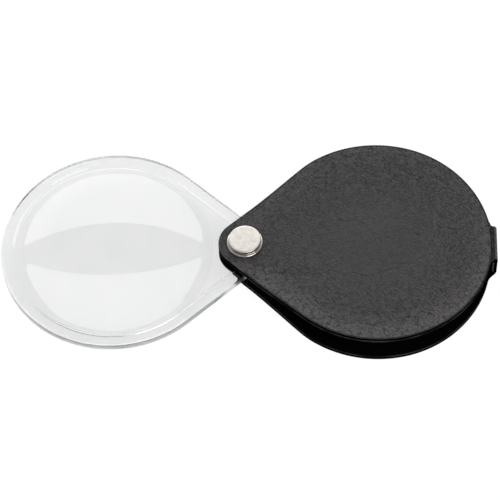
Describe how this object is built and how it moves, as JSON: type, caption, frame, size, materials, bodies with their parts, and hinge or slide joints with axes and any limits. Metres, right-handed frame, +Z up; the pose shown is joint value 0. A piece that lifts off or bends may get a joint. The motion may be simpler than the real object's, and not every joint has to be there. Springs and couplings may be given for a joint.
{
  "type": "folding pocket magnifier",
  "caption": "Folding pocket magnifier: a clear teardrop lens that turns on a plated rivet out of a black leather case with two covers and a spine tab.",
  "frame": {"origin": "on the pivot axis, in the face of the pivot's lower head, which rests on the surface", "axes": "+X from the pivot along the case to its spine, +Y across the case, +Z up along the pivot axis"},
  "size_m": [0.1551, 0.0718, 0.0122],
  "materials": {
    "acrylic": "gloss",
    "case_leather": "satin",
    "fibre_board": "matte",
    "lining_leather": "matte",
    "nickel_plate": "satin",
    "washer_plate": "polished",
    "nylon": "matte"
  },
  "bodies": {
    "case": {"leather_wrap": "case_leather", "front_board": "fibre_board", "back_board": "fibre_board", "front_lining": "lining_leather", "back_lining": "lining_leather", "spine_strip": "fibre_board", "pivot_cap": "nickel_plate", "pivot_post": "nickel_plate", "front_washer": "washer_plate", "back_washer": "washer_plate", "front_friction_washer": "nylon", "back_friction_washer": "nylon"},
    "lens": {"lens": "acrylic"}
  },
  "joints": [
    {"name": "lens_swing", "type": "hinge", "parent": "case", "child": "lens", "pos_m": [0, 0, 0.0061], "axis": [0, 0, 1], "range_deg": [-181, 179]}
  ]
}
